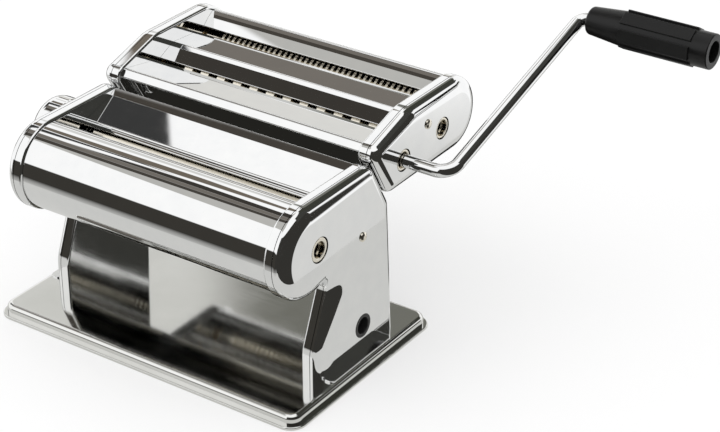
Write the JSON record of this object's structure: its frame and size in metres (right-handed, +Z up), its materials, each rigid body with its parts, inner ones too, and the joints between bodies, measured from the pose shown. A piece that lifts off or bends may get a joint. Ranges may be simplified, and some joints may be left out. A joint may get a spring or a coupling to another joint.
{
  "type": "pasta roller machine",
  "caption": "Hand-cranked pasta roller: chrome side boxes carry smooth rollers with a gap regulator, and a lift-off cutter with ribbon and spaghetti cutting rollers stands on the rear ledge.",
  "frame": {"origin": "middle of the base's underside, on the table", "axes": "+X along the rollers towards the crank, +Y from the rounded nose to the cutter, +Z up"},
  "size_m": [0.3469, 0.2862, 0.1709],
  "materials": {
    "chrome_shell": "mirror-polished chrome plate",
    "chrome_base": "chrome plate, faintly brushed",
    "chrome_sheet": "mirror-polished chrome plate on bent sheet",
    "chrome_rod": "chrome plate on round bar",
    "nickel_roller": "satin nickel plate",
    "steel_inner": "plain machined steel",
    "bronze_bush": "plain sintered bronze",
    "black_plastic": "satin moulded plastic",
    "black_liner": "matt moulded plastic"
  },
  "bodies": {
    "machine": {"base_pan": "chrome_base", "bottom_plate": "chrome_base", "right_inner_tray": "chrome_shell", "left_inner_tray": "chrome_shell", "right_outer_shell": "chrome_shell", "left_outer_shell": "chrome_shell", "clamp_liner": "black_liner", "front_guard": "chrome_sheet", "feed_plate": "chrome_sheet", "rear_guard": "chrome_sheet", "front_scraper": "steel_inner", "rear_scraper": "steel_inner", "tie_rods": "steel_inner", "tie_rod_nuts": "steel_inner", "roller_bushes": "bronze_bush", "carriage_guides": "steel_inner", "panel_screw": "chrome_rod", "regulator_bush": "bronze_bush", "index_ring": "chrome_shell", "cutter_rails": "steel_inner"},
    "front_roller": {"front_roller": "nickel_roller", "front_gear": "steel_inner"},
    "roller_carriage": {"left_bearing_block": "bronze_bush", "right_bearing_block": "bronze_bush"},
    "rear_roller": {"rear_roller": "nickel_roller", "rear_gear": "steel_inner"},
    "regulator": {"regulator_cam": "steel_inner", "spring_washer": "steel_inner", "regulator_spring": "steel_inner"},
    "regulator_knob": {"regulator_knob": "chrome_shell", "index_pin": "steel_inner", "knob_cap": "chrome_shell"},
    "cutter_unit": {"cutter_right_tray": "chrome_shell", "cutter_left_tray": "chrome_shell", "cutter_right_shell": "chrome_shell", "cutter_left_shell": "chrome_shell", "cutter_bushes": "bronze_bush", "cutter_spacers": "steel_inner", "cutter_screws": "chrome_rod", "cutter_front_guard": "chrome_sheet", "cutter_centre_ridge": "chrome_sheet", "cutter_rear_guard": "chrome_sheet", "cutter_tie_rods": "steel_inner", "cutter_tie_nuts": "steel_inner"},
    "ribbon_drive": {"ribbon_drive_roller": "nickel_roller", "ribbon_drive_gear": "steel_inner"},
    "ribbon_mate": {"ribbon_mate_roller": "nickel_roller", "ribbon_mate_gear": "steel_inner"},
    "spaghetti_drive": {"spaghetti_drive_roller": "nickel_roller", "spaghetti_drive_gear": "steel_inner"},
    "spaghetti_mate": {"spaghetti_mate_roller": "nickel_roller", "spaghetti_mate_gear": "steel_inner"},
    "crank": {"crank_rod": "chrome_rod", "crank_cross_pin": "steel_inner", "grip_retainer": "steel_inner"},
    "grip": {"grip": "black_plastic"}
  },
  "joints": [
    {"name": "front_roller_spin", "type": "hinge", "parent": "machine", "child": "front_roller", "pos_m": [0, -0.03, 0.0955], "axis": [1, 0, 0], "continuous": true},
    {"name": "roller_gap_slide", "type": "slide", "parent": "machine", "child": "roller_carriage", "axis": [0, -1, 0], "range_m": [0, 0.0024]},
    {"name": "rear_roller_spin", "type": "hinge", "parent": "roller_carriage", "child": "rear_roller", "pos_m": [0, 0.0018, 0.0955], "axis": [1, 0, 0], "continuous": true},
    {"name": "regulator_turn", "type": "hinge", "parent": "machine", "child": "regulator", "pos_m": [-0.11, 0.0018, 0.0955], "axis": [-1, 0, 0], "range_deg": [0, 162]},
    {"name": "regulator_pull", "type": "slide", "parent": "regulator", "child": "regulator_knob", "axis": [-1, 0, 0], "range_m": [0, 0.005], "stiffness_N_per_m": 800, "springref_m": -0.003, "deforming": ["regulator_spring"]},
    {"name": "cutter_lift", "type": "slide", "parent": "machine", "child": "cutter_unit", "axis": [0, -0.5, 0.866], "range_m": [0, 0.04]},
    {"name": "ribbon_drive_spin", "type": "hinge", "parent": "cutter_unit", "child": "ribbon_drive", "pos_m": [0, 0.0535, 0.1155], "axis": [1, 0, 0], "continuous": true},
    {"name": "ribbon_mate_spin", "type": "hinge", "parent": "cutter_unit", "child": "ribbon_mate", "pos_m": [0, 0.07203, 0.11712], "axis": [1, 0, 0], "continuous": true},
    {"name": "spaghetti_drive_spin", "type": "hinge", "parent": "cutter_unit", "child": "spaghetti_drive", "pos_m": [0, 0.09474, 0.11911], "axis": [1, 0, 0], "continuous": true},
    {"name": "spaghetti_mate_spin", "type": "hinge", "parent": "cutter_unit", "child": "spaghetti_mate", "pos_m": [0, 0.11327, 0.12073], "axis": [1, 0, 0], "continuous": true},
    {"name": "crank_pull", "type": "slide", "parent": "ribbon_drive", "child": "crank", "axis": [1, 0, 0], "range_m": [0, 0.025]},
    {"name": "grip_spin", "type": "hinge", "parent": "crank", "child": "grip", "pos_m": [0.18, 0.20235, 0.15874], "axis": [1, 0, 0], "continuous": true}
  ],
  "couplings": [
    {"joint": "rear_roller_spin", "follows": "front_roller_spin", "ratio": -1},
    {"joint": "regulator_turn", "follows": "roller_gap_slide", "rad_per_m": 1178},
    {"joint": "ribbon_mate_spin", "follows": "ribbon_drive_spin", "ratio": -1},
    {"joint": "spaghetti_mate_spin", "follows": "spaghetti_drive_spin", "ratio": -1}
  ]
}
